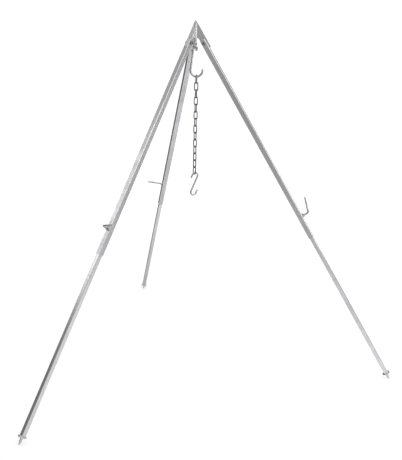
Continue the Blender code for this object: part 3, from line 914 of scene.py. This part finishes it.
def build_head():
    """The post, cap, ring, welds and three fins, which all stay with the head."""
    settle("head_post", head_post(), "head", HEAD_HOME, POST_ZINC_PAINTED_HIGHLIGHT, ["head_post"])
    settle("head_cap", head_cap(), "head", HEAD_HOME, BAR_ZINC, ["head_cap"])
    eye_home = HEAD_HOME @ Matrix.Translation((0, 0, EYE_CENTRE))
    eye_home = eye_home @ Matrix.Rotation(HOOK_AZIMUTH + QUARTER_TURN, 4, "Z")
    settle("hanging_eye", hanging_eye(), "head", eye_home, BAR_ZINC, ["hanging_eye"])
    settle("head_welds", head_welds(), "head", HEAD_HOME, WELD)
    for n, azimuth in enumerate(LEG_AZIMUTHS, 1):
        home = HEAD_HOME @ Matrix.Rotation(azimuth, 4, "Z")
        wing = eased(f"head_wing_{n}", WING_EDGE, 3)
        settle(f"head_wing_{n}", wing, "head", home, PLATE_ZINC, [f"head_wing_{n}"], in_place=True)


# Pivot bolts


def bolt_mesh():
    """A hexagon bolt along Y, with its head's chamfer and flat crown, and a thread past the washer."""
    top, edge = HEAD_FACE + BOLT_HEAD, BOLT_END_EDGE
    head = loft("head", hex_side(BOLT_FLATS, HEAD_FACE, top, (False, True)))
    crown = turned("crown", [(BOLT_FLATS * 0.4, top - 0.0004), (BOLT_FLATS * 0.38, top)])
    end = HEAD_FACE + BOLT_NUT + BOLT_BEYOND_NUT
    core = BOLT_RADIUS - THREAD_DEPTH * 0.7
    shank = turned("shank", [
        (core - edge, -end), (core, -end + edge), (core, -HEAD_FACE),
        (BOLT_RADIUS, -HEAD_FACE + 0.001), (BOLT_RADIUS, HEAD_FACE + 0.001),
    ])
    length = BOLT_NUT + BOLT_BEYOND_NUT - 0.0008
    ridge = thread("ridge", core, BOLT_THREAD_PITCH, length, THREAD_DEPTH * 0.8, BOLT_ZINC)
    ridge.transform(Matrix.Translation((0, 0, -end + edge)))
    return along_y(joined("bolt", [head, crown, shank, ridge]))


def washer_mesh(low, high):
    """A flat washer about Y from one height to another, with its rims eased."""
    bore, edge = BOLT_RADIUS + GAP, WASHER_EDGE
    return along_y(turned("washer", [
        (bore, low), (WASHER_RADIUS - edge, low), (WASHER_RADIUS, low + edge),
        (WASHER_RADIUS, high - edge), (WASHER_RADIUS - edge, high), (bore, high),
    ], closed=True))


def build_pivots():
    """At each pivot a bolt and its nut, and a washer and a spacer on either side of the fin."""
    for n, azimuth in enumerate(LEG_AZIMUTHS, 1):
        home = HEAD_HOME @ Matrix.Rotation(azimuth, 4, "Z") @ Matrix.Translation((PIVOT_RADIUS, 0, 0))
        settle(f"pivot_bolt_{n}", bolt_mesh(), "head", home, BOLT_ZINC, [f"pivot_bolt_{n}"])
        nut = along_y(hex_nut("nut", BOLT_FLATS, BOLT_RADIUS + GAP, -HEAD_FACE - BOLT_NUT, -HEAD_FACE))
        settle(f"pivot_nut_{n}", nut, "head", home, BOLT_ZINC, [f"pivot_nut_{n}"])
        for side, way in (("left", 1), ("right", -1)):
            low, high = sorted((way * WASHER_FACE, way * (WASHER_FACE + WASHER_THICKNESS)))
            name = f"pivot_washer_{n}_{side}"
            settle(name, washer_mesh(low, high), "head", home, BOLT_ZINC, [name])
            name = f"pivot_spacer_{n}_{side}"
            settle(name, eased(name, SPACER_EDGE), "head", home, BOLT_ZINC, [name], in_place=True)


# Legs


def square_path(side, corner, height):
    """Round a square tube, as a weld goes."""
    inset = side / 2 - corner
    points = []
    for quarter in range(4):
        turn = Matrix.Rotation(quarter * QUARTER_TURN, 2)
        for a in (0, 0.52, 1.05, 1.57):
            points.append(turn @ (Vector((inset, inset)) + corner * Vector((cos(a), sin(a)))))
        points += [turn @ Vector((inset * (1 - share * 2), side / 2)) for share in (0.25, 0.5, 0.75)]
    return [Vector((p.x, p.y, height)) for p in points]


def clamp_screw():
    """An L-shaped screw along X from the tube's face, threaded up to its bend."""
    tip = LOWER_SIDE / 2 + GAP - UPPER_SIDE / 2
    bend_start = CLAMP_REACH - CLAMP_BEND_RADIUS
    bend = arc((bend_start, CLAMP_BEND_RADIUS), CLAMP_BEND_RADIUS, -QUARTER_TURN, CLAMP_BEND - QUARTER_TURN)
    way = Vector((cos(CLAMP_BEND), sin(CLAMP_BEND)))
    end = bend[-1] + way * (CLAMP_HANDLE - CLAMP_BEND_RADIUS)
    thread_end = bend_start - 0.003
    edge = SCREW_TIP_EDGE
    path = upright([Vector((thread_end, 0)), *bend, end])
    points, girths = round_ended(path, CLAMP_RADIUS)
    keep = [i for i, p in enumerate(points) if i > 5 or (p - points[0]).length > CLAMP_RADIUS]
    points = [path[0], *(points[i] for i in keep)]
    girths = [CLAMP_RADIUS, *(girths[i] for i in keep)]
    handle = grown("handle", points, girths, BAR_TREE, Sides=BAR_SIDES, Material=SCREW_ZINC)
    core = CLAMP_RADIUS - THREAD_DEPTH * 0.8
    shank = along_x(turned("shank", [
        (core - edge, tip), (core, tip + edge),
        (core, thread_end - edge), (CLAMP_RADIUS, thread_end + 0.0002),
    ]))
    length = thread_end - tip - 2 * edge
    ridge = thread("ridge", core, CLAMP_THREAD_PITCH, length, THREAD_DEPTH, SCREW_ZINC)
    ridge.transform(Matrix.Translation((0, 0, tip + edge)))
    return joined("screw", [handle, shank, along_x(ridge)])


def foot_plate():
    """The round plate under a lower tube, with eased rims."""
    top, foot = -FOOT_TOP, -FOOT_TOP - FOOT_PLATE_THICKNESS
    rim, edge = FOOT_PLATE_RADIUS, FOOT_PLATE_EDGE
    return turned("foot", [
        (rim - edge, top), (rim - edge / 3, top - edge / 3), (rim, top - edge),
        (rim, foot + edge), (rim - edge / 3, foot + edge / 3), (rim - edge, foot),
    ])


def foot_spike():
    """The spike under a foot plate: a round bar with a blunt point."""
    top = -FOOT_TOP - FOOT_PLATE_THICKNESS - GAP
    taper = SPIKE_POINT - LEG_LENGTH
    return turned("spike", [
        (SPIKE_RADIUS, top), (SPIKE_RADIUS, taper + 0.001), (SPIKE_RADIUS - 0.0003, taper - 0.0004),
        (SPIKE_TIP_RADIUS + 0.0006, 0.0016 - LEG_LENGTH), (SPIKE_TIP_RADIUS, 0.0006 - LEG_LENGTH),
        (SPIKE_TIP_RADIUS - 0.0007, -LEG_LENGTH),
    ])


def foot_welds(seed):
    """The beads round the lower tube's end and round the spike's root."""
    tube = square_path(LOWER_SIDE, TUBE_CORNER, 0.0005 - FOOT_TOP)
    root = [Vector(p) for p in ring(SPIKE_RADIUS, -FOOT_TOP - FOOT_PLATE_THICKNESS - 0.0004, 40)]
    return joined("welds", [
        bead("tube", tube, TUBE_BEAD, seed + 0.3, spacing=0.0022),
        bead("spike", root, SPIKE_BEAD, seed + 0.7),
    ])


def build_legs():
    """Each leg's upper tube and clamp, and the lower tube with its foot, which slides."""
    for n, azimuth in enumerate(LEG_AZIMUTHS, 1):
        home = Matrix.Translation(PIVOTS[n - 1]) @ Euler((0, -LEG_LEAN, azimuth)).to_matrix().to_4x4()
        name = f"upper_tube_{n}"
        tube = eased(name, UPPER_TUBE_EDGE)
        settle(name, tube, f"leg_{n}", home, UPPER_ZINC, [name], in_place=True)
        body = f"extension_{n}"
        name = f"lower_tube_{n}"
        settle(name, eased(name, LOWER_TUBE_EDGE), body, home, LOWER_ZINC, [name], in_place=True)
        name = f"foot_plate_{n}"
        settle(name, foot_plate(), body, home, PLATE_ZINC, [name])
        name = f"foot_spike_{n}"
        settle(name, foot_spike(), body, home, PLATE_ZINC, [name])
        settle(f"foot_welds_{n}", foot_welds(n), body, home, WELD)
        build_clamp(n, home)


def build_clamp(n, leg_home):
    """A leg's clamp: the nut welded to its outer face, and the screw that turns in it."""
    home = leg_home @ Matrix.Translation((0, 0, -CLAMP_BELOW_PIVOT))
    face = UPPER_SIDE / 2 + GAP
    bore, top = CLAMP_RADIUS + GAP, face + CLAMP_NUT_THICKNESS
    nut = hex_nut("nut", CLAMP_NUT_FLATS, bore, face, top, (False, True))
    name = f"clamp_nut_{n}"
    settle(name, along_x(nut), f"leg_{n}", home, SCREW_ZINC, [name])
    hexagon = [Vector(p) for p in hex_ring(CLAMP_NUT_FLATS, 1, face)]
    weld = along_x(bead("nut", hexagon, CLAMP_NUT_BEAD, n + 0.1))
    settle(f"clamp_nut_weld_{n}", weld, f"leg_{n}", home, WELD)
    screw_home = leg_home @ Matrix.Translation((UPPER_SIDE / 2, 0, -CLAMP_BELOW_PIVOT))
    screw_home = screw_home @ Matrix.Rotation(-CLAMP_TURNS[n - 1], 4, "X")
    name = f"clamp_screw_{n}"
    settle(name, clamp_screw(), f"clamp_{n}", screw_home, SCREW_ZINC, [name])


# Hook, chain and S-hook


def hook_path():
    """From the hook's point, round its bowl and up into its rolled eye."""
    loop_centre = Vector((0, EYE_WIRE_RADIUS + HOOK_WIRE_RADIUS + GAP - HOOK_LOOP_RADIUS))
    bowl_centre = Vector((HOOK_ASIDE, HOOK_BOWL_RADIUS - HOOK_DROP))
    rise = loop_centre - bowl_centre
    slant = asin((HOOK_BOWL_RADIUS - HOOK_LOOP_RADIUS) / rise.length) - atan(HOOK_ASIDE / rise.y)
    opening = acos(1 - (2 * HOOK_WIRE_RADIUS + GAP) / HOOK_LOOP_RADIUS)
    return without_repeats(upright([
        bowl_centre + Vector((HOOK_BOWL_RADIUS, HOOK_POINT)),
        *arc(bowl_centre, HOOK_BOWL_RADIUS, 0, -HALF_TURN - slant),
        *arc(loop_centre, HOOK_LOOP_RADIUS, HALF_TURN - slant, opening - HALF_TURN - slant),
    ]), closed=False)


def link_mesh(hung_on, number):
    """An oval link that hangs from a wire of this radius at its origin, with a weld swelling on one side."""
    top = hung_on + GAP + LINK_WIRE_RADIUS
    middle = LINK_HALF_WIDTH
    upper, lower = top - middle, top - LINK_CROWNS + middle
    side = [Vector((-middle, upper + (lower - upper) * i / 8)) for i in range(1, 8)]
    other = [Vector((middle, lower + (upper - lower) * i / 8)) for i in range(1, 8)]
    path = [*arc((0, upper), middle, 0, HALF_TURN), *side, *arc((0, lower), middle, HALF_TURN, tau), *other]
    points = without_repeats(upright(path), closed=True)
    weld_side = 1 if number % 4 < 2 else -1
    weld_at = Vector((weld_side * middle, 0, (upper + lower) / 2))
    swelling, reach = 0.09, 0.0022
    girths = [LINK_WIRE_RADIUS * (1 + swelling * exp(-(((p - weld_at).length / reach) ** 2))) for p in points]
    return closed_bar("link", points, girths, LINK_SIDES, CHAIN_ZINC)


def s_hook_path():
    """Round both bends of the S-hook, from the upper tip to the lower one."""
    hang = S_BEND_RADIUS - S_WIRE_RADIUS - LINK_WIRE_RADIUS - RUNNING_GAP
    aside = S_BETWEEN_BENDS / 2 * sin(S_TILT)
    top = Vector((aside, -sqrt(hang**2 - aside**2)))
    bottom = top - S_BETWEEN_BENDS * Vector((sin(S_TILT), cos(S_TILT)))
    slant = S_TILT + asin(2 * S_BEND_RADIUS / S_BETWEEN_BENDS)
    down = Vector((-sin(slant), -cos(slant)))
    upper_bend = arc(top, S_BEND_RADIUS, HALF_TURN - slant, -slant)
    lower_bend = arc(bottom, S_BEND_RADIUS, HALF_TURN - slant, tau - slant)
    path = [upper_bend[0] + S_LEG * down, *upper_bend, *lower_bend, lower_bend[-1] - S_LEG * down]
    return without_repeats(upright(path), closed=False)


def hanging_home(joint, azimuth):
    """At a joint, turned about Z."""
    return Matrix.Translation(JOINTS[joint]["pos_m"]) @ Matrix.Rotation(azimuth, 4, "Z")


def build_hanging_parts():
    """The hook, the links, each turned a quarter and a little more from the one above, and the S-hook."""
    hook = bar_mesh("hook", hook_path(), HOOK_WIRE_RADIUS, BAR_ZINC)
    azimuth = HOOK_AZIMUTH
    settle("hook", hook, "hook", hanging_home("hook_swing", azimuth), BAR_ZINC, ["hook"])
    hung_on = HOOK_WIRE_RADIUS
    for number in range(1, LINKS + 1):
        azimuth += LINK_TWIST + (QUARTER_TURN if number % 2 else -QUARTER_TURN)
        name = f"chain_link_{number:02d}"
        place = hanging_home(f"link_{number:02d}_swing", azimuth)
        settle(name, link_mesh(hung_on, number), name, place, CHAIN_ZINC, [name])
        hung_on = LINK_WIRE_RADIUS
    s_hook = bar_mesh("s_hook", s_hook_path(), S_WIRE_RADIUS, BAR_ZINC)
    place = hanging_home("s_hook_swing", azimuth + S_TURN)
    settle("s_hook", s_hook, "s_hook", place, BAR_ZINC, ["s_hook"])


build_studio()
build_head()
build_pivots()
build_legs()
build_hanging_parts()
